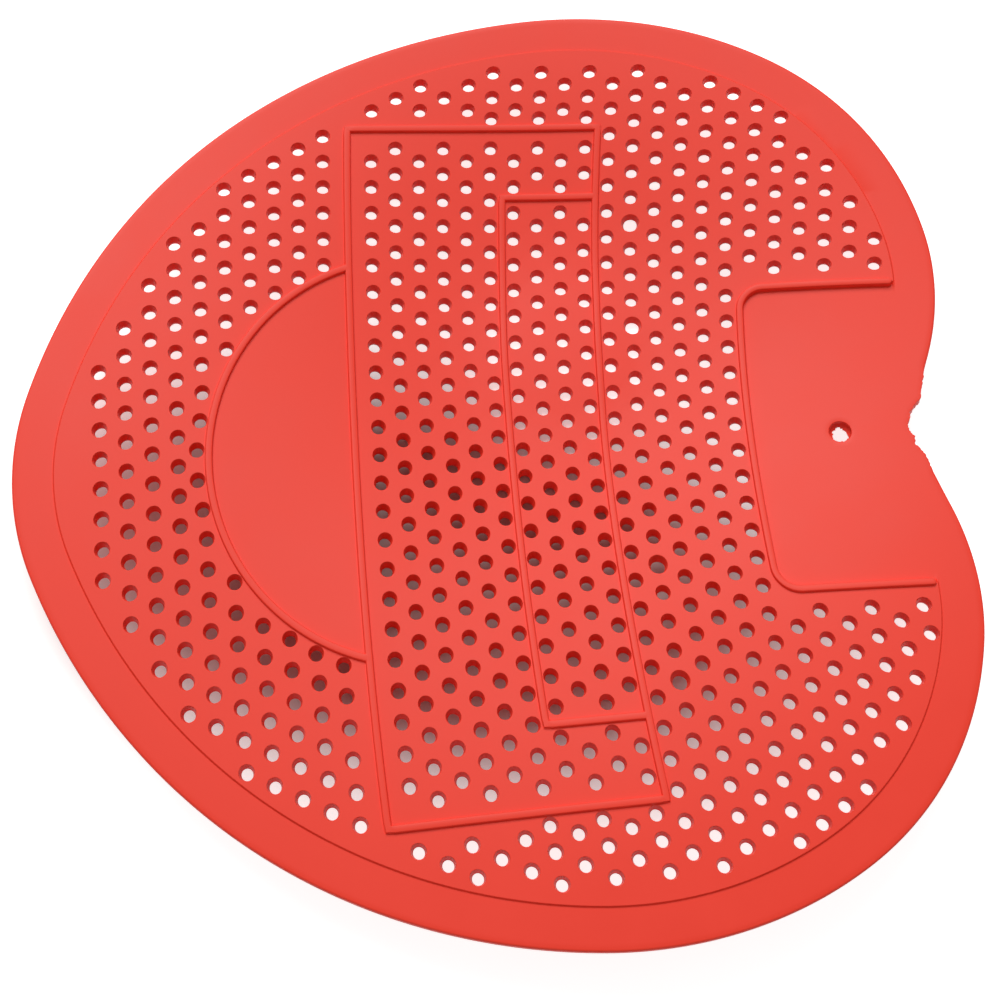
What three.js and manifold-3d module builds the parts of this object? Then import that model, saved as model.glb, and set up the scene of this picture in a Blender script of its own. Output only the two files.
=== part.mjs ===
// A heart-shaped urinal screen: one flexible sheet of soft vinyl with a field of drain holes, raised ribs
// and two blank panels. It is drawn as it leaves the mould, flat on z = 0, and then laid down as it rests:
// bowed a little in its own plane, flat near its middle and curling up towards its edges, most at the left and the bottom.
// Millimetres, +Z up. The left tip points to -X and the cleft of the heart opens to +X.
import * as THREE from "three";
import { mergeVertices } from "three/addons/utils/BufferGeometryUtils.js";
import Module from "manifold-3d";

const wasm = await Module();
wasm.setup();

// Sheet
const tipReach = 92.4; // from the middle of the sheet to the left tip
const rimThickness = 2.2; // the plain border and the panel beside the cleft
const fieldStep = 0.4; // how far the perforated field stands above the border
const rimWidth = 7.8;

// Half outline from the left tip to the cleft, as arcs that run into one another
const tipRadius = 48.9;
const tipTurn = 20;
const sideRadius = 115.4;
const sideTurn = 63;
const crownRadius = 80.9;
const crownTurn = 35.5;
const lobeRadius = 66.9;
const lobeTurn = 44;
const shoulderRadius = 47.9;
const shoulderTurn = 34;
const arcChord = 8; // longest straight piece that stands for an arc of the outline or a rib
const sideChord = 20; // longest piece of a straight edge, which the bow then bends
const cornerSteps = 4; // pieces in a panel's rounded corner

// Torn edge in the cleft: distance along Y and how far the edge stands out from the straight cut
const tear = [
  [9.5, 0.1],
  [6.4, 0.5],
  [5.2, -0.3],
  [3.4, -1],
  [1.4, -0.9],
  [-1.6, -0.2],
  [-3.2, -0.7],
  [-5.5, 0.1],
];

// Drain holes, on a lattice of equal triangles centred on the sheet
const holePitch = 5.5;
const holeSides = 3;
const holeRadius = 1.6; // corner radius at the top face
const holeTaper = 0.85; // bottom size over top size
const fieldEdge = 1.6; // least distance from a hole's centre to the step round the field
const holeReach = 80; // no hole lies further than this from either middle line
const holeClear = 2.25; // distance from a rib's centre line to a hole that is moved off it
const onRib = 0.9; // a hole nearer to a rib's centre line than this is left out
const wideSpots = [
  [28.6, 24.8],
  [28.6, 46.8],
]; // two wider holes in each half
const wideScale = 1.28;
const movedFrom = -2; // the row outside the frame's long ribs starts here

// Hanging hole
const hangX = 67.4;
const hangRadius = 2.1;
const hangSides = 16;

// Ribs
const ribWidth = 1.3;
const ribHeight = 0.6;
const frameLeft = -28.6;
const frameRight = 21.4;
const frameHalf = 67.4;
const innerLeft = 2.4;
const innerHalf = 52.6;
const arcX = -16.4; // centre of the round rib at the left
const arcRadius = 39.9;
const panelLeft = 50.3; // the blank panel beside the cleft
const panelHalf = 31.5;
const panelCorner = 4.5;

// How the sheet lies: each size is what it adds at a distance of 100 mm
const reach = 100;
const squeeze = -4.6; // along X
const bowAcross = 7.3;
const skew = 6;
const bowGrowth = 5.7;
const stretch = 4.6; // along Y
const sag = -5.5;
const pinch = -5;
const spread = -5.1;
const waist = -5.2;
const cupAlong = 33.7;
const cupAcross = 30.7;
const cupGrowth = 10.8;
const cupX = 15; // lowest point of the cup
const cupY = 21;
const slack = 20; // height at which the rise of the edges is halved
const settled = 0.5; // how deep the bottom of the cup is pressed flat
const settleBlend = 1.3;
const longestEdge = 40; // edges longer than this are split before the sheet is bent

const fieldTop = rimThickness + fieldStep;
const ribTop = fieldTop + ribHeight;
const below = -1; // cutters start under the sheet

// A closed geometry as a solid
function solidFrom(geometry) {
  const bare = geometry.index ? geometry.toNonIndexed() : geometry.clone();
  bare.deleteAttribute("normal");
  bare.deleteAttribute("uv");
  const merged = mergeVertices(bare, 1e-4);
  return new wasm.Manifold(
    new wasm.Mesh({
      numProp: 3,
      vertProperties: merged.attributes.position.array,
      triVerts: new Uint32Array(merged.index.array),
    }),
  );
}

function slab(shape, bottom, top) {
  const geometry = new THREE.ExtrudeGeometry(shape, { depth: top - bottom, bevelEnabled: false, steps: 1 });
  return solidFrom(geometry.translate(0, 0, bottom));
}

// Upper half of the heart, inset by a margin: arcs that each start where the last one ended, heading along
function halfHeart(margin) {
  const arcs = [
    [tipRadius, tipTurn],
    [sideRadius, sideTurn],
    [crownRadius, crownTurn],
    [lobeRadius, lobeTurn],
    [shoulderRadius, shoulderTurn],
  ];
  let heading = Math.PI / 2;
  let end = new THREE.Vector2(margin - tipReach, 0);
  const points = [end];
  for (const [radius, degrees] of arcs) {
    const r = radius - margin;
    const turn = THREE.MathUtils.degToRad(degrees);
    const centre = new THREE.Vector2(end.x + r * Math.sin(heading), end.y - r * Math.cos(heading));
    const steps = Math.ceil((r * turn) / arcChord);
    for (let i = 1; i <= steps; i++) {
      const angle = heading - (turn * i) / steps;
      points.push(new THREE.Vector2(centre.x - r * Math.sin(angle), centre.y + r * Math.cos(angle)));
    }
    end = points[points.length - 1];
    heading -= turn;
  }
  return { points, end, heading };
}

// Where the straight run from the shoulder meets a height y
function cleftX(half, y) {
  return half.end.x + (y - half.end.y) / Math.tan(half.heading);
}

function mirrored(points) {
  return points.slice(1).reverse().map((p) => new THREE.Vector2(p.x, -p.y));
}

const outer = halfHeart(0);
const inner = halfHeart(rimWidth);

// The sheet's bow in its own plane
function bowed(x, y) {
  const a = x / reach;
  const b = y / reach;
  return new THREE.Vector2(
    x + squeeze * a + bowAcross * b * b + skew * a * b + bowGrowth * a * b * b,
    y + stretch * b + sag * a * a + pinch * a * b + spread * b ** 3 + waist * a * a * b,
  );
}

// A closed outline as it lies after the bow, with its long sides in short pieces
function bowedShape(points) {
  const fine = [];
  points.forEach((point, i) => {
    const next = points[(i + 1) % points.length];
    const pieces = Math.ceil(point.distanceTo(next) / sideChord);
    for (let k = 0; k < pieces; k++) {
      const at = point.clone().lerp(next, k / pieces);
      fine.push(bowed(at.x, at.y));
    }
  });
  return new THREE.Shape(fine);
}

function sheetShape() {
  const edge = tear.map(([y, out]) => new THREE.Vector2(cleftX(outer, Math.abs(y)) + out, y));
  return bowedShape([...outer.points, ...edge, ...mirrored(outer.points)]);
}

function fieldShape() {
  return bowedShape([...inner.points, ...mirrored(inner.points)]);
}

function arc(x, y, radius, from, to, steps) {
  const points = [];
  for (let i = 0; i <= steps; i++) {
    const angle = from + ((to - from) * i) / steps;
    points.push(new THREE.Vector2(x + radius * Math.cos(angle), y + radius * Math.sin(angle)));
  }
  return points;
}

// A box about y = 0, with rounded corners at its left if a corner radius is given
function box(left, right, half, corner = 0) {
  const steps = corner ? cornerSteps : 0;
  return bowedShape([
    new THREE.Vector2(right, -half),
    new THREE.Vector2(right, half),
    ...arc(left + corner, half - corner, corner, Math.PI / 2, Math.PI, steps || 1).slice(0, steps + 1),
    ...arc(left + corner, corner - half, corner, Math.PI, 1.5 * Math.PI, steps || 1).slice(0, steps + 1),
  ]);
}

// A ring of even width between two shapes, both drawn round
function framed(outside, inside) {
  return slab(outside, 0, ribTop).subtract(slab(inside, below, ribTop + 1));
}

function boxRib(left, right, half) {
  const w = ribWidth / 2;
  return framed(box(left - w, right + w, half + w), box(left + w, right - w, half - w));
}

// The round rib left of the frame, a bow whose ends stop at the frame's left side
function roundRib() {
  const w = ribWidth / 2;
  const bow = (radius) => {
    const end = Math.PI - Math.acos((arcX - frameLeft) / radius);
    const steps = Math.ceil((2 * (Math.PI - end) * radius) / arcChord);
    return bowedShape(arc(arcX, 0, radius, end, 2 * Math.PI - end, steps));
  };
  return framed(bow(arcRadius + w), bow(arcRadius - w));
}

// The blank panel beside the cleft; it runs on past the right edge
function panelShape(inset) {
  return box(panelLeft + inset, tipReach, panelHalf - inset, panelCorner - inset);
}

// Distance from a point to the edge of the perforated field, and to the nearest rib's centre line
function insetIn(points, x, y) {
  let nearest = Infinity;
  for (let i = 1; i < points.length; i++) {
    const a = points[i - 1];
    const d = points[i].clone().sub(a);
    const t = THREE.MathUtils.clamp(((x - a.x) * d.x + (y - a.y) * d.y) / d.lengthSq(), 0, 1);
    const off = Math.hypot(x - a.x - t * d.x, y - a.y - t * d.y);
    const side = Math.sign((y - a.y) * d.x - (x - a.x) * d.y);
    if (off < Math.abs(nearest)) nearest = -side * off;
  }
  return nearest;
}

function holeSites() {
  const columnStep = (holePitch * Math.sqrt(3)) / 2;
  const columns = Math.ceil(tipReach / columnStep);
  const rows = Math.ceil(tipReach / holePitch);
  const sites = [];
  for (let column = -columns; column <= columns; column++) {
    for (let row = 0; row <= rows; row++) {
      const site = fitted(column * columnStep, (row + (column % 2 ? 0 : 0.5)) * holePitch);
      if (!site) continue;
      sites.push(site);
      if (site.y > 0) sites.push(new THREE.Vector2(site.x, -site.y));
    }
  }
  return sites;
}

// A place in the lattice's upper half, moved clear of a rib where that is a small move, or none
function fitted(x, y) {
  if (Math.max(Math.abs(x), y) > holeReach || insetIn(inner.points, x, y) < fieldEdge) return null;
  if (x > panelLeft - holeClear && y < panelHalf + holeClear) return null;
  if (Math.abs(x - frameLeft) < onRib) return null;
  const site = new THREE.Vector2(x, y);
  const fromArc = Math.hypot(x - arcX, y) - arcRadius;
  if (x < frameLeft && fromArc < onRib) return null;
  if (x < frameLeft && fromArc < holeClear) {
    const centre = new THREE.Vector2(arcX, 0);
    return site.sub(centre).setLength(arcRadius + holeClear).add(centre);
  }
  if (x > innerLeft && x < frameRight && Math.abs(y - innerHalf) < onRib) return null;
  if (x > frameLeft && x < frameRight && Math.abs(y - frameHalf) < holeClear) {
    if (y < frameHalf || x < movedFrom) return null;
    site.y = frameHalf + holeClear;
  }
  return site;
}

// All the drain holes as one solid of separate tapered prisms, each with a corner pointing away from y = 0
function holeCutters() {
  const positions = [];
  const bottomRadius = holeRadius * holeTaper;
  const slope = (holeRadius - bottomRadius) / fieldTop;
  const low = bottomRadius + slope * below;
  const high = holeRadius - slope * below;
  for (const site of holeSites()) {
    const size = wideSpots.some(([x, y]) => Math.hypot(site.x - x, Math.abs(site.y) - y) < 1) ? wideScale : 1;
    const prism = new THREE.CylinderGeometry(size * high, size * low, fieldTop - 2 * below, holeSides).toNonIndexed();
    prism.rotateX(Math.PI / 2);
    prism.rotateZ(site.y > 0 ? Math.PI : 0);
    const place = bowed(site.x, site.y);
    prism.translate(place.x, place.y, fieldTop / 2);
    positions.push(...prism.attributes.position.array);
  }
  const geometry = new THREE.BufferGeometry();
  geometry.setAttribute("position", new THREE.Float32BufferAttribute(positions, 3));
  return solidFrom(geometry);
}

function hangingHole() {
  return bowedShape(arc(hangX, 0, hangRadius, 0, 2 * Math.PI, hangSides).slice(1));
}

function mouldedSheet() {
  const w = ribWidth / 2;
  const field = slab(fieldShape(), 0, fieldTop).subtract(slab(panelShape(w), rimThickness, ribTop));
  const panelRib = framed(panelShape(-w), panelShape(w)).intersect(slab(fieldShape(), 0, ribTop));
  return slab(sheetShape(), 0, rimThickness)
    .add(field)
    .add(boxRib(frameLeft, frameRight, frameHalf))
    .add(boxRib(innerLeft, frameRight, innerHalf))
    .add(roundRib())
    .add(panelRib)
    .subtract(slab(hangingHole(), below, ribTop))
    .subtract(holeCutters());
}

// Splits edges longer than a length at their middles, on both of the faces that share them
function splitLongEdges(positions, triangles, longest) {
  const middles = new Map();
  const corner = (i) => new THREE.Vector3(positions[3 * i], positions[3 * i + 1], positions[3 * i + 2]);
  const middle = (i, j) => {
    const key = i < j ? `${i} ${j}` : `${j} ${i}`;
    if (middles.has(key)) return middles.get(key);
    const a = corner(i);
    const b = corner(j);
    if (a.distanceTo(b) <= longest) return -1;
    const made = positions.length / 3;
    positions.push(...a.lerp(b, 0.5).toArray());
    middles.set(key, made);
    return made;
  };
  const split = [];
  for (let t = 0; t < triangles.length; t += 3) {
    const ring = [];
    for (let k = 0; k < 3; k++) {
      const i = triangles[t + k];
      const m = middle(i, triangles[t + ((k + 1) % 3)]);
      ring.push(i);
      if (m >= 0) ring.push(m);
    }
    split.push(...fan(ring, corner));
  }
  return split.length > triangles.length ? splitLongEdges(positions, split, longest) : split;
}

// Triangles of a ring of 3 to 6 corners, three of them a triangle's and the rest on its edges
function fan(ring, corner) {
  if (ring.length === 3) return ring;
  let best = [];
  let bestArea = -1;
  for (let start = 0; start < ring.length; start++) {
    const turned = [...ring.slice(start), ...ring.slice(0, start)];
    const made = [];
    let least = Infinity;
    for (let k = 1; k < turned.length - 1; k++) {
      const triangle = [turned[0], turned[k], turned[k + 1]];
      least = Math.min(least, new THREE.Triangle(...triangle.map(corner)).getArea());
      made.push(...triangle);
    }
    if (least > bestArea) {
      best = made;
      bestArea = least;
    }
  }
  return best;
}

// Where a point of the flat, bowed sheet lies once its edges curl up
function laid(x, y, z) {
  const a = (x - cupX) / reach;
  const b = (y - cupY) / reach;
  const across = cupAcross + (cupGrowth * x) / reach;
  const raised = Math.max(0, cupAlong * a * a + across * b * b - settled);
  const free = (raised * raised) / (raised + settleBlend);
  const eased = 1 + free / slack;
  const growth = (raised * (raised + 2 * settleBlend)) / ((raised + settleBlend) * eased) ** 2;
  const slopeX = (growth * (2 * cupAlong * a + cupGrowth * b * b)) / reach;
  const slopeY = (growth * 2 * across * b) / reach;
  const up = new THREE.Vector3(-slopeX, -slopeY, 1).setLength(z);
  return new THREE.Vector3(x, y, free / eased).add(up);
}

function laidGeometry(solid) {
  const mesh = solid.getMesh();
  const positions = Array.from(mesh.vertProperties);
  const triangles = splitLongEdges(positions, Array.from(mesh.triVerts), longestEdge);
  for (let i = 0; i < positions.length; i += 3) {
    const point = laid(positions[i], positions[i + 1], positions[i + 2]);
    [positions[i], positions[i + 1], positions[i + 2]] = point.toArray();
  }
  const geometry = new THREE.BufferGeometry();
  geometry.setAttribute("position", new THREE.Float32BufferAttribute(positions, 3));
  geometry.setIndex(triangles);
  geometry.computeBoundingBox();
  const middle = geometry.boundingBox.getCenter(new THREE.Vector3());
  geometry.translate(-middle.x, -middle.y, 0);
  geometry.computeVertexNormals();
  return geometry;
}

const softVinyl = new THREE.MeshStandardMaterial({ color: 0xe65447, roughness: 0.45, metalness: 0 });
const screen = new THREE.Mesh(laidGeometry(mouldedSheet()), softVinyl);
screen.name = "screen";

const part = new THREE.Group();
part.add(screen);

export default part;
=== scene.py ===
# Heart-shaped urinal screen: one sheet of soft red vinyl with drain holes and raised ribs, lying on a white table.
# The sheet is drawn flat in millimetres as it leaves the mould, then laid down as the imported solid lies.
import math
import random

import bmesh
import bpy
import numpy as np
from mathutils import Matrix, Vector, kdtree
from mathutils.geometry import delaunay_2d_cdt


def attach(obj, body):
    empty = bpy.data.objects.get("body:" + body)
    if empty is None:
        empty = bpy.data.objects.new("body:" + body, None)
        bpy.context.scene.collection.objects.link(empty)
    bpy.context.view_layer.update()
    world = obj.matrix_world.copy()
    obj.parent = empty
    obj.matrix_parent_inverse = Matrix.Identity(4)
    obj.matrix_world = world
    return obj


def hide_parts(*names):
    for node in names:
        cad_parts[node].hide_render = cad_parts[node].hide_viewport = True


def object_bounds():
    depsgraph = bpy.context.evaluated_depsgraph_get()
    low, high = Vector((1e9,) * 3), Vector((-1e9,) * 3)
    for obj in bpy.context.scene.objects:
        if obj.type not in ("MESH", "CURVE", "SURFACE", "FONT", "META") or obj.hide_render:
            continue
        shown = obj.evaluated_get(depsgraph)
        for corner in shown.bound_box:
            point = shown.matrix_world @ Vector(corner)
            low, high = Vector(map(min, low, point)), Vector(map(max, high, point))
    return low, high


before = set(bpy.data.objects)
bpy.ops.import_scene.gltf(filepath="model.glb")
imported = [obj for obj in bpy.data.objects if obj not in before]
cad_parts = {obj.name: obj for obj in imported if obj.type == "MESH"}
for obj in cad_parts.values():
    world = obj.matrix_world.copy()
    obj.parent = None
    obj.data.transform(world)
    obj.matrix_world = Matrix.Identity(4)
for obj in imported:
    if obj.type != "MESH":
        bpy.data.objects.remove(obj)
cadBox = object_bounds()
millimetre = 0.001

# The moulded sheet, seen flat: left tip at -X, cleft of the heart at +X
sheet = {
    "tipReach": 92.4,  # from the middle of the sheet to the left tip
    "arcs": [(48.9, 20), (115.4, 63), (80.9, 35.5), (66.9, 44), (47.9, 34)],  # radius and turn in degrees
    "borderWidth": 7.8,
    "borderTop": 2.2,
    "fieldTop": 2.6,
    # place across the step and share of its height
    "step": [(-0.34, 0.0), (-0.26, 0.1), (-0.08, 0.88), (0.0, 1.0)],
    "edgeRound": 0.45,
    "chord": 1.3,  # spacing of points along the edge and the ribs
    "gridStep": 3.2,  # spacing of points on the plain areas
    "gridReach": 100,
    "gridClear": 0.45,  # share of that spacing kept free round every drawn line
    "roundSteps": 4,
    "sideHeights": (1.5, 0.8),  # rows of points down the upright part of the side
    "sharpAngle": 25,
    "weld": 0.004,
}

tear = {  # the torn edge in the cleft: distance along Y, and how far the edge stands out from the straight cut
    "points": [(12.0, 0.0), (9.5, 0.15), (7.6, 0.25), (6.4, 0.5), (5.6, 0.0), (5.2, -0.35), (4.4, -0.6), (3.4, -1.0),
               (2.2, -0.7), (1.4, -0.95), (0.4, -0.8), (-0.8, -0.45), (-1.6, -0.15), (-2.2, -0.35), (-3.2, -0.75),
               (-4.2, -0.3), (-5.5, 0.1), (-8.0, 0.0)],
    "shag": 0.12,  # size of the small rips between those points
    "spacing": 0.3,
    "rough": (-0.16, 0.12),  # how far the torn side wanders along X
    "edgeRound": 0.07,
    "seed": 4,
}

holes = {
    "pitch": 5.5,
    "topRadius": 1.4,
    "neckRadius": 1.06,
    "neckDepth": 1.6,  # the two halves of the tool meet here and leave a thin lip
    "neckLip": 0.05,
    "bottomRadius": 1.2,
    "lip": 0.09,  # the small round at the mouth
    "sides": 20,
    "wideScale": 1.28,
    "wideSpots": [(28.58, 24.75), (28.58, 46.75)],
    "fieldEdge": 1.6,  # least distance from a hole's centre to the step
    "reach": 80,  # no hole lies further out than this
    "clear": 2.25,  # distance from a rib's centre line to a hole that is moved off it
    "onRib": 0.9,
    "movedFrom": -2,
}

hanging = {
    "x": 67.4,
    "radius": 2.1,
    "lip": 0.22,
    "flashHeight": 0.8,  # height of the torn skin left in the hole
    "flashRadius": 1.5,
    "rag": 0.22,
    "sides": 72,
    "seed": 7,
}

ribs = {
    "height": 0.6,
    # distance off the centre line and share of the height
    "section": [(0.4, 1.0), (0.52, 0.96), (0.62, 0.82), (0.68, 0.5), (0.74, 0.0)],
    "frame": (-28.6, 21.4, 67.4),  # left, right, half height
    "inner": (2.4, 21.4, 52.6),
    "arcX": -16.4,
    "arcRadius": 39.9,
    "panelLeft": 50.3,
    "panelHalf": 31.5,
    "panelCorner": 4.5,
    "joint": 0.9,  # how far short of the field's edge the panel's rib ends
    "endTurn": 1.3,  # half the turn of a rib's rounded end, in radians
}

lie = {  # what each bend adds at 100 mm from the middle
    "reach": 100,
    "squeeze": -4.6,  # along X
    "bowAcross": 7.3,
    "skew": 6.0,
    "bowGrowth": 5.7,
    "stretch": 4.6,  # along Y
    "sag": -5.5,
    "pinch": -5.0,
    "spread": -5.1,
    "waist": -5.2,
    "cupAlong": 33.7,
    "cupAcross": 30.7,
    "cupGrowth": 10.8,
    "cupX": 15,  # lowest point of the cup
    "cupY": 21,
    "slack": 20,  # height at which the rise of the edges is halved
    "settled": 0.5,
    "settleBlend": 1.3,
}


# Plan of the sheet

# Upper half of the heart inset by a margin: arcs that each start where the last one ended
def halfHeart(margin):
    heading = math.pi / 2
    x, y = margin - sheet["tipReach"], 0.0
    points = [(x, y)]
    for radius, degrees in sheet["arcs"]:
        r = radius - margin
        turn = math.radians(degrees)
        centreX, centreY = x + r * math.sin(heading), y - r * math.cos(heading)
        steps = math.ceil(r * turn / sheet["chord"])
        for i in range(1, steps + 1):
            angle = heading - turn * i / steps
            points.append((centreX - r * math.sin(angle), centreY + r * math.cos(angle)))
        x, y = points[-1]
        heading -= turn
    return points, heading


# Points along a straight run, without its last one
def run(a, b, spacing):
    steps = max(1, math.ceil(math.dist(a, b) / spacing))
    return [(a[0] + (b[0] - a[0]) * i / steps, a[1] + (b[1] - a[1]) * i / steps) for i in range(steps)]


def path(corners, spacing):
    points = []
    for a, b in zip(corners, corners[1:]):
        points += run(a, b, spacing)
    return points + [corners[-1]]


def mirrored(points):
    return [(x, -y) for x, y in reversed(points)]


def tornEdge(shoulder, heading):
    cut = [(shoulder[0] + (abs(y) - shoulder[1]) / math.tan(heading) + out, y) for y, out in tear["points"]]
    chance = random.Random(tear["seed"])
    return [(x + chance.uniform(-1, 1) * tear["shag"], y + chance.uniform(-0.5, 0.5) * tear["shag"])
            for x, y in path(cut, tear["spacing"])]


def outlineLoop():
    upper, heading = halfHeart(0)
    torn = tornEdge(upper[-1], heading)
    lower = mirrored(upper)
    points = upper[:-1] + run(upper[-1], torn[0], sheet["chord"]) + torn[:-1]
    points += run(torn[-1], lower[0], sheet["chord"]) + lower[:-1]
    return np.array(points)


# The field's edge; its ends run straight on to the middle line
def fieldLoop(margin):
    upper, heading = halfHeart(margin)
    x, y = upper[-1]
    cleft = (x - y / math.tan(heading), 0.0)
    half = upper[:-1] + run(upper[-1], cleft, sheet["chord"])
    return np.array(half + [cleft] + mirrored(half)[:-1])


# Unit normals of a chain of points, pointing left of its course, long enough at corners to keep a strip even
def sideways(points, closed):
    after = np.roll(points, -1, axis=0) - points
    before = points - np.roll(points, 1, axis=0)
    if not closed:
        after[-1], before[0] = before[-1], after[0]
    after /= np.linalg.norm(after, axis=1)[:, None]
    before /= np.linalg.norm(before, axis=1)[:, None]
    both = after + before
    both /= np.maximum(np.linalg.norm(both, axis=1)[:, None], 1e-9)
    normal = np.stack([-both[:, 1], both[:, 0]], axis=1)
    return normal / np.maximum(np.sum(both * after, axis=1), 0.7)[:, None]


# Distance from points to a chain
def distanceTo(chain, points, closed=False):
    ends = np.roll(chain, -1, axis=0) if closed else chain[1:]
    starts = chain if closed else chain[:-1]
    nearest = np.full(len(points), np.inf)
    for a, b in zip(starts, ends):
        along = b - a
        t = np.clip((points - a) @ along / max(along @ along, 1e-12), 0, 1)
        off = points - a - t[:, None] * along
        nearest = np.minimum(nearest, np.hypot(off[:, 0], off[:, 1]))
    return nearest


def inside(loop, points):
    crossed = np.zeros(len(points), dtype=bool)
    for (ax, ay), (bx, by) in zip(loop, np.roll(loop, -1, axis=0)):
        if ay == by:
            continue
        between = (points[:, 1] > min(ay, by)) & (points[:, 1] <= max(ay, by))
        crossed ^= between & (points[:, 0] < ax + (points[:, 1] - ay) * (bx - ax) / (by - ay))
    return crossed


fieldEdge = fieldLoop(sheet["borderWidth"])


def insetInField(points):
    return distanceTo(fieldEdge, points, closed=True) * np.where(inside(fieldEdge, points), 1, -1)


# Ribs, as centre lines

def boxLine(left, right, half):
    return [(right, half), (left, half), (left, -half), (right, -half)]


def arcPoints(x, y, radius, start, end, spacing):
    steps = max(1, math.ceil(abs(end - start) * radius / spacing))
    angles = [start + (end - start) * i / steps for i in range(steps + 1)]
    return [(x + radius * math.cos(t), y + radius * math.sin(t)) for t in angles]


def roundLine():
    end = math.pi - math.acos((ribs["arcX"] - ribs["frame"][0]) / ribs["arcRadius"])
    return arcPoints(ribs["arcX"], 0, ribs["arcRadius"], end, 2 * math.pi - end, sheet["chord"])


def panelLine():
    left, half, corner = ribs["panelLeft"], ribs["panelHalf"], ribs["panelCorner"]
    rightSide = [p for p in fieldEdge if p[0] > left and p[1] > 0]
    farX = min(rightSide, key=lambda p: abs(p[1] - half))[0] - ribs["joint"]
    top = run((farX, half), (left + corner, half), sheet["chord"])
    bend = arcPoints(left + corner, half - corner, corner, math.pi / 2, math.pi, sheet["chord"] * 0.6)
    upper = top + bend[:-1]
    return upper + run(bend[-1], (left, -bend[-1][1]), sheet["chord"]) + mirrored(upper + [bend[-1]])


def ribLines():
    left, right, half = ribs["frame"]
    innerLeft, innerRight, innerHalf = ribs["inner"]
    boxed = boxLine(left, right, half)
    return [
        {"line": np.array(path(boxed + [boxed[0]], sheet["chord"])[:-1]), "closed": True},
        {"line": np.array(path(boxLine(innerLeft, innerRight, innerHalf), sheet["chord"])), "closed": False},
        {"line": np.array(roundLine()), "closed": False},
        {"line": np.array(panelLine()), "closed": False},
    ]


ribChains = ribLines()


def topHeight(points):
    places, shares = zip(*sheet["step"])
    raisedBy = sheet["fieldTop"] - sheet["borderTop"]
    base = sheet["borderTop"] + raisedBy * np.interp(insetInField(points), places, shares)
    panel = ribChains[3]["line"]
    reach = sheet["tipReach"]
    base[inside(np.vstack([panel, [[reach, panel[-1][1]], [reach, panel[0][1]]]]), points)] = sheet["borderTop"]
    offs, heights = zip(*ribs["section"])
    share = np.zeros(len(points))
    for rib in ribChains:
        share = np.maximum(share, np.interp(distanceTo(rib["line"], points, rib["closed"]), offs, heights))
    return base + share * (sheet["fieldTop"] + ribs["height"] - base)


# Drain holes: a lattice of equal triangles, fitted round the ribs

def fitted(x, y, inset):
    left, right, half = ribs["frame"]
    innerLeft, innerRight, innerHalf = ribs["inner"]
    clear = holes["clear"]
    if max(abs(x), y) > holes["reach"] or inset < holes["fieldEdge"]:
        return None
    if x > ribs["panelLeft"] - clear and y < ribs["panelHalf"] + clear:
        return None
    if abs(x - left) < holes["onRib"]:
        return None
    fromArc = math.hypot(x - ribs["arcX"], y) - ribs["arcRadius"]
    if x < left and fromArc < holes["onRib"]:
        return None
    if x < left and fromArc < clear:
        grown = (ribs["arcRadius"] + clear) / math.hypot(x - ribs["arcX"], y)
        return ribs["arcX"] + (x - ribs["arcX"]) * grown, y * grown
    if innerLeft < x < innerRight and abs(y - innerHalf) < holes["onRib"]:
        return None
    if left < x < right and abs(y - half) < clear:
        return None if y < half or x < holes["movedFrom"] else (x, half + clear)
    return x, y


def holeSites():
    columnStep = holes["pitch"] * math.sqrt(3) / 2
    count = math.ceil(sheet["tipReach"] / holes["pitch"]) + 2
    lattice = [(column * columnStep, (row + (0 if column % 2 else 0.5)) * holes["pitch"])
               for column in range(-count, count + 1) for row in range(count)]
    insets = insetInField(np.array(lattice))
    sites = []
    for (x, y), inset in zip(lattice, insets):
        site = fitted(x, y, inset)
        if site:
            sites.append(site)
            if site[1] > 0:
                sites.append((site[0], -site[1]))
    return sites


def holeSize(site):
    wide = any(math.hypot(site[0] - x, abs(site[1]) - y) < 1 for x, y in holes["wideSpots"])
    return holes["wideScale"] if wide else 1.0


def ring(site, radius, sides):
    angles = np.arange(sides) * 2 * math.pi / sides
    return np.stack([site[0] + radius * np.cos(angles), site[1] + radius * np.sin(angles)], axis=1)


# Faces of the sheet

# Collects points and the lines between them for one triangulation
class Plan:
    def __init__(self):
        self.points = []
        self.edges = []
        self.count = 0

    def add(self, points, closed):
        first = self.count
        self.points.append(np.asarray(points, dtype=float))
        self.count += len(points)
        self.edges += [(first + i, first + i + 1) for i in range(len(points) - 1)]
        if closed:
            self.edges.append((self.count - 1, first))
        return range(first, self.count)

    def fill(self, loop, clearance):
        points = np.vstack(self.points)
        tree = kdtree.KDTree(len(points))
        for i, (x, y) in enumerate(points):
            tree.insert((x, y, 0), i)
        tree.balance()
        step = sheet["gridStep"]
        reach = sheet["gridReach"]
        rows = np.arange(-reach, reach, step * 0.866)
        columns = np.arange(-reach, reach, step)
        grid = np.array([(x + (j % 2) * step / 2, y) for j, y in enumerate(rows) for x in columns])
        grid = grid[inside(loop, grid)]
        free = [p for p in grid if tree.find((p[0], p[1], 0))[2] > clearance]
        self.points.append(np.array(free))
        self.count += len(free)


def triangulated(plan, loop, openings):
    points = np.vstack(plan.points)
    made, _, faces, _, _, _ = delaunay_2d_cdt([Vector(p) for p in points], plan.edges, [], 0, 1e-5, False)
    made = np.array([(p[0], p[1]) for p in made])
    faces = np.array(faces)
    keep = inside(loop, made[faces].mean(axis=1))
    owner = np.full(len(made), -1)
    for number, opening in enumerate(openings):
        owner[list(opening)] = number
    owners = owner[faces]
    keep &= ~((owners[:, 0] >= 0) & (owners[:, 0] == owners[:, 1]) & (owners[:, 0] == owners[:, 2]))
    return made, faces[keep]


sites = holeSites()
sizes = [holeSize(site) for site in sites]
print("drain holes:", len(sites))

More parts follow.
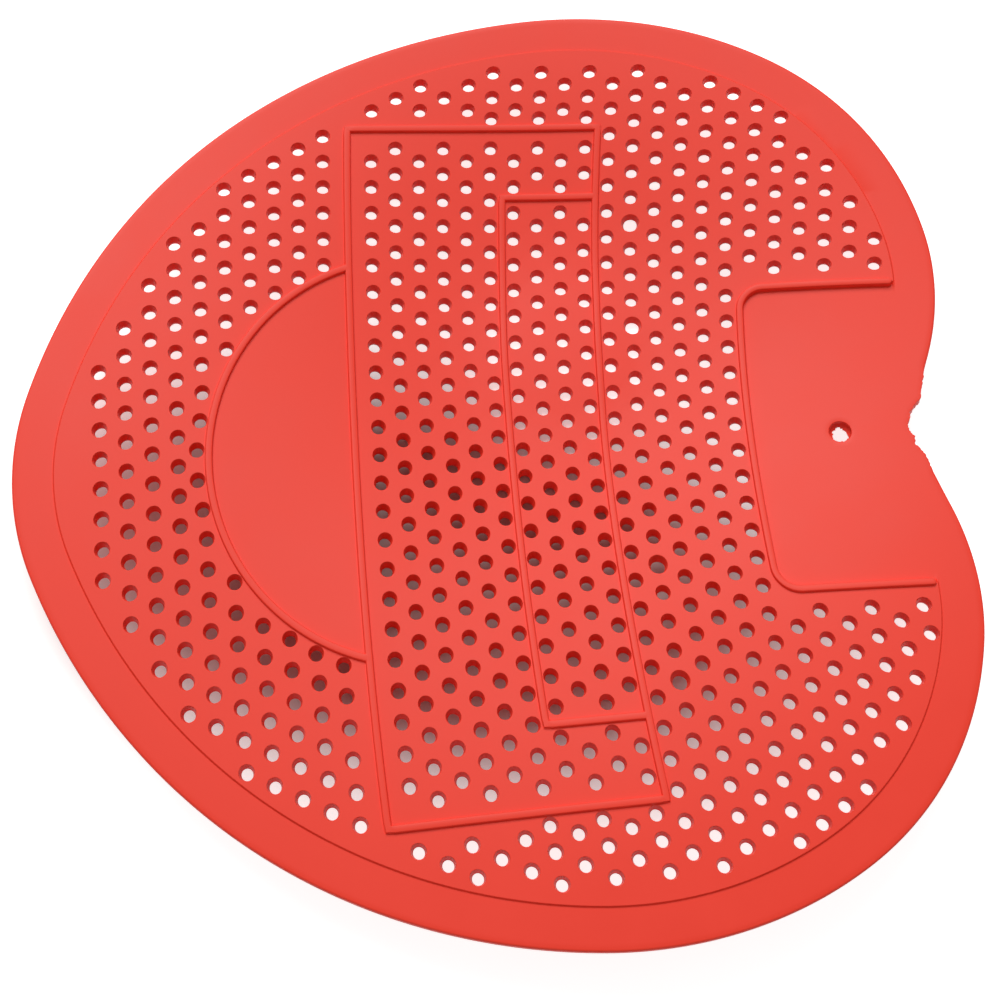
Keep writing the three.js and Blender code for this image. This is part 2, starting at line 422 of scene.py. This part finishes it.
outline = outlineLoop()
inward = -sideways(outline, True)
inward *= np.sign(outline[0] @ -inward[0]) or 1
atTear = (outline[:, 0] > 60) & (outline[:, 1] < tear["points"][0][0]) & (outline[:, 1] > tear["points"][-1][0])
rounding = np.where(atTear, tear["edgeRound"], sheet["edgeRound"])[:, None]
hangPlace = (hanging["x"], 0.0)
panelRib = ribChains[3]["line"]


def facePlan(holeRadius, hangRadius, profileLines):
    plan = Plan()
    loop = outline + inward * rounding
    plan.add(loop, True)
    openings = [plan.add(ring(hangPlace, hangRadius, hanging["sides"]), True)]
    for site, size in zip(sites, sizes):
        openings.append(plan.add(ring(site, holeRadius * size, holes["sides"]), True))
    if profileLines:
        for place, _ in sheet["step"]:
            plan.add(fieldLoop(sheet["borderWidth"] + place), True)
        for rib in ribChains:
            normal = sideways(rib["line"], rib["closed"])
            for off, _ in ribs["section"]:
                for side in (-1, 1):
                    plan.add(rib["line"] + side * off * normal, rib["closed"])
        for end, before in ((0, 1), (-1, -2)):
            place, course = panelRib[end], panelRib[end] - panelRib[before]
            heading, turn = math.atan2(course[1], course[0]), ribs["endTurn"]
            for off, _ in ribs["section"]:
                plan.add(arcPoints(place[0], place[1], off, heading - turn, heading + turn, off / 3), False)
        plan.add(ring(hangPlace, hangRadius + ribs["joint"], hanging["sides"] // 2), True)
        plan.add(loop + inward * ribs["joint"], True)
    plan.fill(loop, sheet["gridStep"] * sheet["gridClear"])
    return plan, loop, openings


def sheetMesh():
    model = bmesh.new()

    topPlan, loop, openings = facePlan(holes["topRadius"] + holes["lip"], hanging["radius"] + hanging["lip"], True)
    points, faces = triangulated(topPlan, loop, openings)
    heights = topHeight(points)
    for opening in openings[1:]:
        heights[list(opening)] = sheet["fieldTop"]
    top = [model.verts.new((x, y, z)) for (x, y), z in zip(points, heights)]
    for a, b, c in faces:
        model.faces.new((top[a], top[b], top[c]))

    bottomPlan, loop, openings = facePlan(holes["bottomRadius"] + holes["lip"], hanging["radius"], False)
    points, faces = triangulated(bottomPlan, loop, openings)
    bottom = [model.verts.new((x, y, 0)) for x, y in points]
    for a, b, c in faces:
        model.faces.new((bottom[c], bottom[b], bottom[a]))

    edgeBand(model, top[:len(outline)], bottom[:len(outline)])
    hangStart = len(outline)
    hangingHole(model, top[hangStart:hangStart + hanging["sides"]], bottom[hangStart:hangStart + hanging["sides"]])
    return model


def bandBetween(model, upper, lower):
    count = len(upper)
    for i in range(count):
        j = (i + 1) % count
        model.faces.new((upper[i], upper[j], lower[j], lower[i]))


# The rounded side of the sheet, from the top loop down to the bottom loop
def edgeBand(model, topLoop, bottomLoop):
    chance = random.Random(tear["seed"] + 1)
    steps = sheet["roundSteps"]
    last = topLoop
    for k in range(1, steps + 1):
        angle = math.pi / 2 * k / steps
        inset = rounding * (1 - math.sin(angle))
        drop = rounding[:, 0] * (1 - math.cos(angle))
        places = outline + inward * inset
        rowNow = [model.verts.new((x, y, sheet["borderTop"] - d)) for (x, y), d in zip(places, drop)]
        bandBetween(model, last, rowNow)
        last = rowNow
    for height in sheet["sideHeights"]:
        rowNow = []
        for (x, y), torn in zip(outline, atTear):
            rowNow.append(model.verts.new((x + (chance.uniform(*tear["rough"]) if torn else 0), y, height)))
        bandBetween(model, last, rowNow)
        last = rowNow
    for k in range(steps):
        angle = math.pi / 2 * k / steps
        inset = rounding * (1 - math.cos(angle))
        rise = rounding[:, 0] * (1 - math.sin(angle))
        places = outline + inward * inset
        rowNow = [model.verts.new((x, y, d)) for (x, y), d in zip(places, rise)]
        bandBetween(model, last, rowNow)
        last = rowNow
    bandBetween(model, last, bottomLoop)


# The hanging hole with the torn skin of vinyl left in it
def hangingHole(model, topLoop, bottomLoop):
    chance = random.Random(hanging["seed"])
    sides = hanging["sides"]
    radius, lip, height = hanging["radius"], hanging["lip"], hanging["flashHeight"]
    ragged = []
    lean = 0.0
    for i in range(sides):
        lean = lean * 0.6 + chance.uniform(-1, 1) * hanging["rag"]
        ragged.append(hanging["flashRadius"] + lean)
    ragged = np.array(ragged)
    rings = [
        (radius + lip * 0.35, sheet["borderTop"] - lip * 0.15),
        (radius, sheet["borderTop"] - lip * 0.7),
        (radius - 0.04, height + 0.25),
        (radius * 0.6 + ragged * 0.4 - 0.05, height + 0.05),
        (ragged, height - 0.1),
        (ragged + 0.02, height - 0.22),
        (radius * 0.5 + ragged * 0.5, height - 0.35),
        (radius - 0.02, height - 0.5),
    ]
    last = topLoop
    for size, z in rings:
        places = ring(hangPlace, 1, sides) - hangPlace
        places = places * np.broadcast_to(size, sides)[:, None] + hangPlace
        rowNow = [model.verts.new((x, y, z)) for x, y in places]
        bandBetween(model, last, rowNow)
        last = rowNow
    bandBetween(model, last, bottomLoop)


# Drain hole walls, one sleeve set on every site

def nodeMaker(tree):
    def add(kind, values=None, **settings):
        node = tree.nodes.new(kind)
        for name, value in settings.items():
            setattr(node, name, value)
        for name, value in (values or {}).items():
            if isinstance(value, bpy.types.NodeSocket):
                tree.links.new(value, node.inputs[name])
            else:
                node.inputs[name].default_value = value
        return node
    return add


def sleeveNodes():
    tree = bpy.data.node_groups.new("Drain holes", "GeometryNodeTree")
    face = tree.interface
    face.new_socket("Geometry", in_out="INPUT", socket_type="NodeSocketGeometry")
    for name in ("Top radius", "Neck radius", "Bottom radius", "Thickness", "Neck depth", "Neck lip", "Lip"):
        face.new_socket(name, in_out="INPUT", socket_type="NodeSocketFloat")
    face.new_socket("Sides", in_out="INPUT", socket_type="NodeSocketInt")
    face.new_socket("Material", in_out="INPUT", socket_type="NodeSocketMaterial")
    face.new_socket("Geometry", in_out="OUTPUT", socket_type="NodeSocketGeometry")
    add = nodeMaker(tree)
    given = add("NodeGroupInput").outputs

    def worked(a, b, operation="ADD"):
        node = add("ShaderNodeMath", operation=operation)
        for socket, value in zip(node.inputs, (a, b)):
            if isinstance(value, bpy.types.NodeSocket):
                tree.links.new(value, socket)
            else:
                socket.default_value = value
        return node.outputs[0]

    topRadius, neckRadius, bottomRadius = given["Top radius"], given["Neck radius"], given["Bottom radius"]
    thickness, neckLip, lip = given["Thickness"], given["Neck lip"], given["Lip"]
    shortLip = worked(lip, 0.3, "MULTIPLY")
    neckHeight = worked(thickness, given["Neck depth"], "SUBTRACT")
    # radius and height of each station from the bottom face up
    stations = [
        (worked(bottomRadius, lip), 0.0),
        (worked(neckRadius, neckLip), worked(neckHeight, neckLip, "SUBTRACT")),
        (neckRadius, neckHeight),
        (worked(neckRadius, neckLip), worked(neckHeight, neckLip)),
        (worked(topRadius, shortLip), worked(thickness, worked(lip, 0.7, "MULTIPLY"), "SUBTRACT")),
        (worked(topRadius, lip), thickness),
    ]
    joined = add("GeometryNodeJoinGeometry")
    for (footRadius, footHeight), (headRadius, headHeight) in zip(stations, stations[1:]):
        band = add("GeometryNodeMeshCone", {
            "Vertices": given["Sides"],
            "Radius Bottom": footRadius,
            "Radius Top": headRadius,
            "Depth": worked(headHeight, footHeight, "SUBTRACT"),
        }, fill_type="NONE")
        lifted = add("ShaderNodeCombineXYZ", {"Z": footHeight})
        moved = add("GeometryNodeTransform", {"Geometry": band.outputs["Mesh"], "Translation": lifted.outputs[0]})
        tree.links.new(moved.outputs[0], joined.inputs[0])
    merged = add("GeometryNodeMergeByDistance", {"Geometry": joined.outputs[0], "Distance": 0.002})
    turned = add("GeometryNodeFlipFaces", {"Mesh": merged.outputs[0]})
    size = add("GeometryNodeInputNamedAttribute", {"Name": "size"}, data_type="FLOAT")
    scale = add("ShaderNodeCombineXYZ", {"X": size.outputs[0], "Y": size.outputs[0], "Z": 1.0})
    placed = add("GeometryNodeInstanceOnPoints", {
        "Points": given["Geometry"],
        "Instance": turned.outputs[0],
        "Scale": scale.outputs[0],
    })
    real = add("GeometryNodeRealizeInstances", {"Geometry": placed.outputs[0]})
    painted = add("GeometryNodeSetMaterial", {"Geometry": real.outputs[0], "Material": given["Material"]})
    add("NodeGroupOutput", {"Geometry": painted.outputs[0]})
    return tree


def holeWalls(material):
    mesh = bpy.data.meshes.new("hole sites")
    mesh.from_pydata([(x, y, 0) for x, y in sites], [], [])
    mesh.attributes.new("size", "FLOAT", "POINT").data.foreach_set("value", sizes)
    points = bpy.data.objects.new("hole walls", mesh)
    bpy.context.collection.objects.link(points)
    modifier = points.modifiers.new("Drain holes", "NODES")
    modifier.node_group = sleeveNodes()
    wanted = {
        "Top radius": holes["topRadius"],
        "Neck radius": holes["neckRadius"],
        "Bottom radius": holes["bottomRadius"],
        "Neck depth": holes["neckDepth"],
        "Neck lip": holes["neckLip"],
        "Thickness": sheet["fieldTop"],
        "Lip": holes["lip"],
        "Sides": holes["sides"],
        "Material": material,
    }
    for item in modifier.node_group.interface.items_tree:
        if item.in_out == "INPUT" and item.name in wanted:
            modifier[item.identifier] = wanted[item.name]
    bpy.context.view_layer.update()
    evaluated = points.evaluated_get(bpy.context.evaluated_depsgraph_get())
    walls = bpy.data.meshes.new_from_object(evaluated)
    bpy.data.objects.remove(points)
    return walls


# Where the flat sheet's points lie once it rests on the table, in millimetres
def laid(points):
    reach = lie["reach"]
    a, b, z = points[:, 0] / reach, points[:, 1] / reach, points[:, 2]
    x = points[:, 0] + lie["squeeze"] * a + lie["bowAcross"] * b ** 2 + lie["skew"] * a * b
    x += lie["bowGrowth"] * a * b ** 2
    y = points[:, 1] + lie["stretch"] * b + lie["sag"] * a ** 2 + lie["pinch"] * a * b + lie["spread"] * b ** 3
    y += lie["waist"] * a ** 2 * b
    a, b = (x - lie["cupX"]) / reach, (y - lie["cupY"]) / reach
    across = lie["cupAcross"] + lie["cupGrowth"] * x / reach
    raised = np.maximum(0, lie["cupAlong"] * a ** 2 + across * b ** 2 - lie["settled"])
    blend = lie["settleBlend"]
    free = raised ** 2 / (raised + blend)
    eased = 1 + free / lie["slack"]
    growth = raised * (raised + 2 * blend) / ((raised + blend) * eased) ** 2
    slopeX = growth * (2 * lie["cupAlong"] * a + lie["cupGrowth"] * b ** 2) / reach
    slopeY = growth * 2 * across * b / reach
    thick = z / np.sqrt(slopeX ** 2 + slopeY ** 2 + 1)
    return np.stack([x - thick * slopeX, y - thick * slopeY, free / eased + thick], axis=1)


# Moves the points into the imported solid's box, with a hair to spare all round
def settledIn(box, points):
    low, high = np.array(box[0]), np.array(box[1])
    spare = 0.02 * millimetre
    own = points.min(axis=0), points.max(axis=0)
    share = (high - low - 2 * spare) / (own[1] - own[0])
    return low + spare + (points - own[0]) * share


# Materials

def linear(code):
    channels = [int(code[i:i + 2], 16) / 255 for i in (1, 3, 5)]
    return [c / 12.92 if c <= 0.04045 else ((c + 0.055) / 1.055) ** 2.4 for c in channels] + [1.0]


# Plasticised vinyl, injection moulded against a finely sanded tool: satin, a little cloudy, clean
def softVinyl():
    material = bpy.data.materials.new("soft vinyl, satin moulded")
    material.use_nodes = True
    tree = material.node_tree
    tree.nodes.clear()
    add = nodeMaker(tree)
    place = add("ShaderNodeTexCoord").outputs["Object"]
    # clouds about 12 mm across, from uneven melt
    cloud = add("ShaderNodeTexNoise", {"Vector": place, "Scale": 1 / 0.012, "Detail": 3.0, "Roughness": 0.55})
    colour = add("ShaderNodeMix", {"Factor": cloud.outputs["Fac"]}, data_type="RGBA")
    colour.inputs["A"].default_value = linear("#EE3A26")
    colour.inputs["B"].default_value = linear("#F4402D")
    # grain of the tool about 0.25 mm across
    grain = add("ShaderNodeTexNoise", {"Vector": place, "Scale": 1 / 0.00025, "Detail": 2.0, "Roughness": 0.5})
    bump = add("ShaderNodeBump", {"Strength": 0.06, "Distance": 0.00002, "Height": grain.outputs["Fac"]})
    sheen = add("ShaderNodeMapRange", {"Value": cloud.outputs["Fac"], "To Min": 0.4, "To Max": 0.5})
    surface = add("ShaderNodeBsdfPrincipled", {
        "Base Color": colour.outputs["Result"],
        "Roughness": sheen.outputs[0],
        "IOR": 1.5,
        "Specular IOR Level": 0.26,
        "Normal": bump.outputs[0],
    })
    add("ShaderNodeOutputMaterial", {"Surface": surface.outputs[0]})
    return material


# painted shade: an ellipse on the table, in metres, where the painted glow that lifts the rest to white is left out
table = {  # where the sheet shuts the light out, in metres, and how far the rest is brought up
    "shadeX": -0.016,
    "shadeY": -0.022,
    "shadeTurn": -0.25,
    "shadeLength": 0.082,
    "shadeWidth": 0.04,
    "lift": 0.8,
}


# One for a ray that shows a surface straight, mirrored or through another; nought for one that only lights
def shownRays(add):
    rays = add("ShaderNodeLightPath").outputs
    seen = add("ShaderNodeMath", {0: rays["Is Camera Ray"], 1: rays["Is Glossy Ray"]}, operation="MAXIMUM")
    shown = add("ShaderNodeMath", {0: seen.outputs[0], 1: rays["Is Transmission Ray"]}, operation="MAXIMUM")
    return shown.outputs[0]


# Matt white laminate; seen straight on, a painted glow brings it up to the paper white of a product picture,
# except in an ellipse where the sheet lies close on it: painted shade there, where the glow is left out
def whiteTable():
    material = bpy.data.materials.new("white laminate")
    material.use_nodes = True
    tree = material.node_tree
    tree.nodes.clear()
    add = nodeMaker(tree)
    place = add("ShaderNodeTexCoord").outputs["Object"]
    # painted shade: the ellipse under the sheet, where the glow fades to nothing
    reach = add("ShaderNodeMapping", {
        "Vector": place,
        "Location": (table["shadeX"], table["shadeY"], 0),
        "Rotation": (0, 0, table["shadeTurn"]),
        "Scale": (table["shadeLength"], table["shadeWidth"], 1),
    }, vector_type="TEXTURE")
    away = add("ShaderNodeVectorMath", {0: reach.outputs[0]}, operation="LENGTH")
    lifted = add("ShaderNodeMapRange", {
        "Value": away.outputs["Value"],
        "From Min": 0.6,
        "From Max": 1.25,
        "To Max": table["lift"],
    }, interpolation_type="SMOOTHSTEP")
    strength = add("ShaderNodeMath", {0: shownRays(add), 1: lifted.outputs[0]}, operation="MULTIPLY")
    matt = add("ShaderNodeBsdfDiffuse", {"Color": linear("#F0F0EE")})
    # painted light: the table glows white for rays that show it, outside that ellipse
    paintedGlow = add("ShaderNodeEmission", {"Color": (1, 1, 1, 1), "Strength": strength.outputs[0]})
    both = add("ShaderNodeAddShader", {0: matt.outputs[0], 1: paintedGlow.outputs[0]})
    add("ShaderNodeOutputMaterial", {"Surface": both.outputs[0]})
    return material


vinyl = softVinyl()

model = sheetMesh()
walls = holeWalls(vinyl)
model.from_mesh(walls)
bmesh.ops.remove_doubles(model, verts=model.verts, dist=sheet["weld"])
print("open edges:", sum(1 for e in model.edges if len(e.link_faces) != 2))
mesh = bpy.data.meshes.new("screen")
model.to_mesh(mesh)
model.free()
bpy.data.meshes.remove(walls)

flat = np.empty(len(mesh.vertices) * 3)
mesh.vertices.foreach_get("co", flat)
lying = settledIn(cadBox, laid(flat.reshape(-1, 3)) * millimetre)
mesh.vertices.foreach_set("co", lying.ravel())
for name in [a.name for a in mesh.attributes if a.name in ("size", "UVMap")]:
    mesh.attributes.remove(mesh.attributes[name])
mesh.materials.clear()
mesh.materials.append(vinyl)
mesh.polygons.foreach_set("material_index", np.zeros(len(mesh.polygons), dtype=np.int32))
mesh.shade_smooth()
mesh.set_sharp_from_angle(angle=math.radians(sheet["sharpAngle"]))
mesh.update()
screen = bpy.data.objects.new("screen", mesh)
bpy.context.collection.objects.link(screen)
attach(screen, "root")
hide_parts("screen")
print("screen:", len(mesh.polygons), "faces,", sum(len(p.vertices) - 2 for p in mesh.polygons), "triangles")

# Table
floorMesh = bpy.data.meshes.new("table")
floorMesh.from_pydata([(-1.5, -1.5, 0), (1.5, -1.5, 0), (1.5, 1.5, 0), (-1.5, 1.5, 0)], [], [(0, 1, 2, 3)])
floorMesh.materials.append(whiteTable())
floor = bpy.data.objects.new("table", floorMesh)
bpy.context.collection.objects.link(floor)
print("table laid")

# Light: an even white room, and one wide soft lamp beyond the top of the picture
lighting = {"room": 0.3, "lampPower": 17, "lampSize": 0.9, "lampPlace": (-0.15, 0.9, 1.1)}
world = bpy.data.worlds.new("white room")
world.use_nodes = True
world.node_tree.nodes["Background"].inputs["Color"].default_value = (1, 1, 1, 1)
addToWorld = nodeMaker(world.node_tree)
# white where it is seen, and only as strong as the room where it lights the sheet
strength = addToWorld("ShaderNodeMath", {0: shownRays(addToWorld), 1: lighting["room"]}, operation="MAXIMUM")
world.node_tree.links.new(strength.outputs[0], world.node_tree.nodes["Background"].inputs["Strength"])
bpy.context.scene.world = world
lamp = bpy.data.lights.new("soft lamp", "AREA")
lamp.energy = lighting["lampPower"]
lamp.size = lighting["lampSize"]
lampObject = bpy.data.objects.new("soft lamp", lamp)
lampObject.location = lighting["lampPlace"]
lampObject.rotation_euler = (-Vector(lighting["lampPlace"])).to_track_quat("-Z", "Y").to_euler()
bpy.context.collection.objects.link(lampObject)

# Camera: a phone held close above the sheet
view = {"place": (-0.00662, -0.09406, 0.25277), "turn": (18.769, -0.212, -4.150), "lens": 50.55}
camera = bpy.data.cameras.new("camera")
camera.lens = view["lens"]
camera.sensor_width = 36
camera.clip_start = 0.01
cameraObject = bpy.data.objects.new("camera", camera)
cameraObject.location = view["place"]
cameraObject.rotation_euler = [math.radians(a) for a in view["turn"]]
bpy.context.collection.objects.link(cameraObject)
bpy.context.scene.camera = cameraObject
bpy.context.scene.view_settings.view_transform = "Standard"
print("lights and camera set")
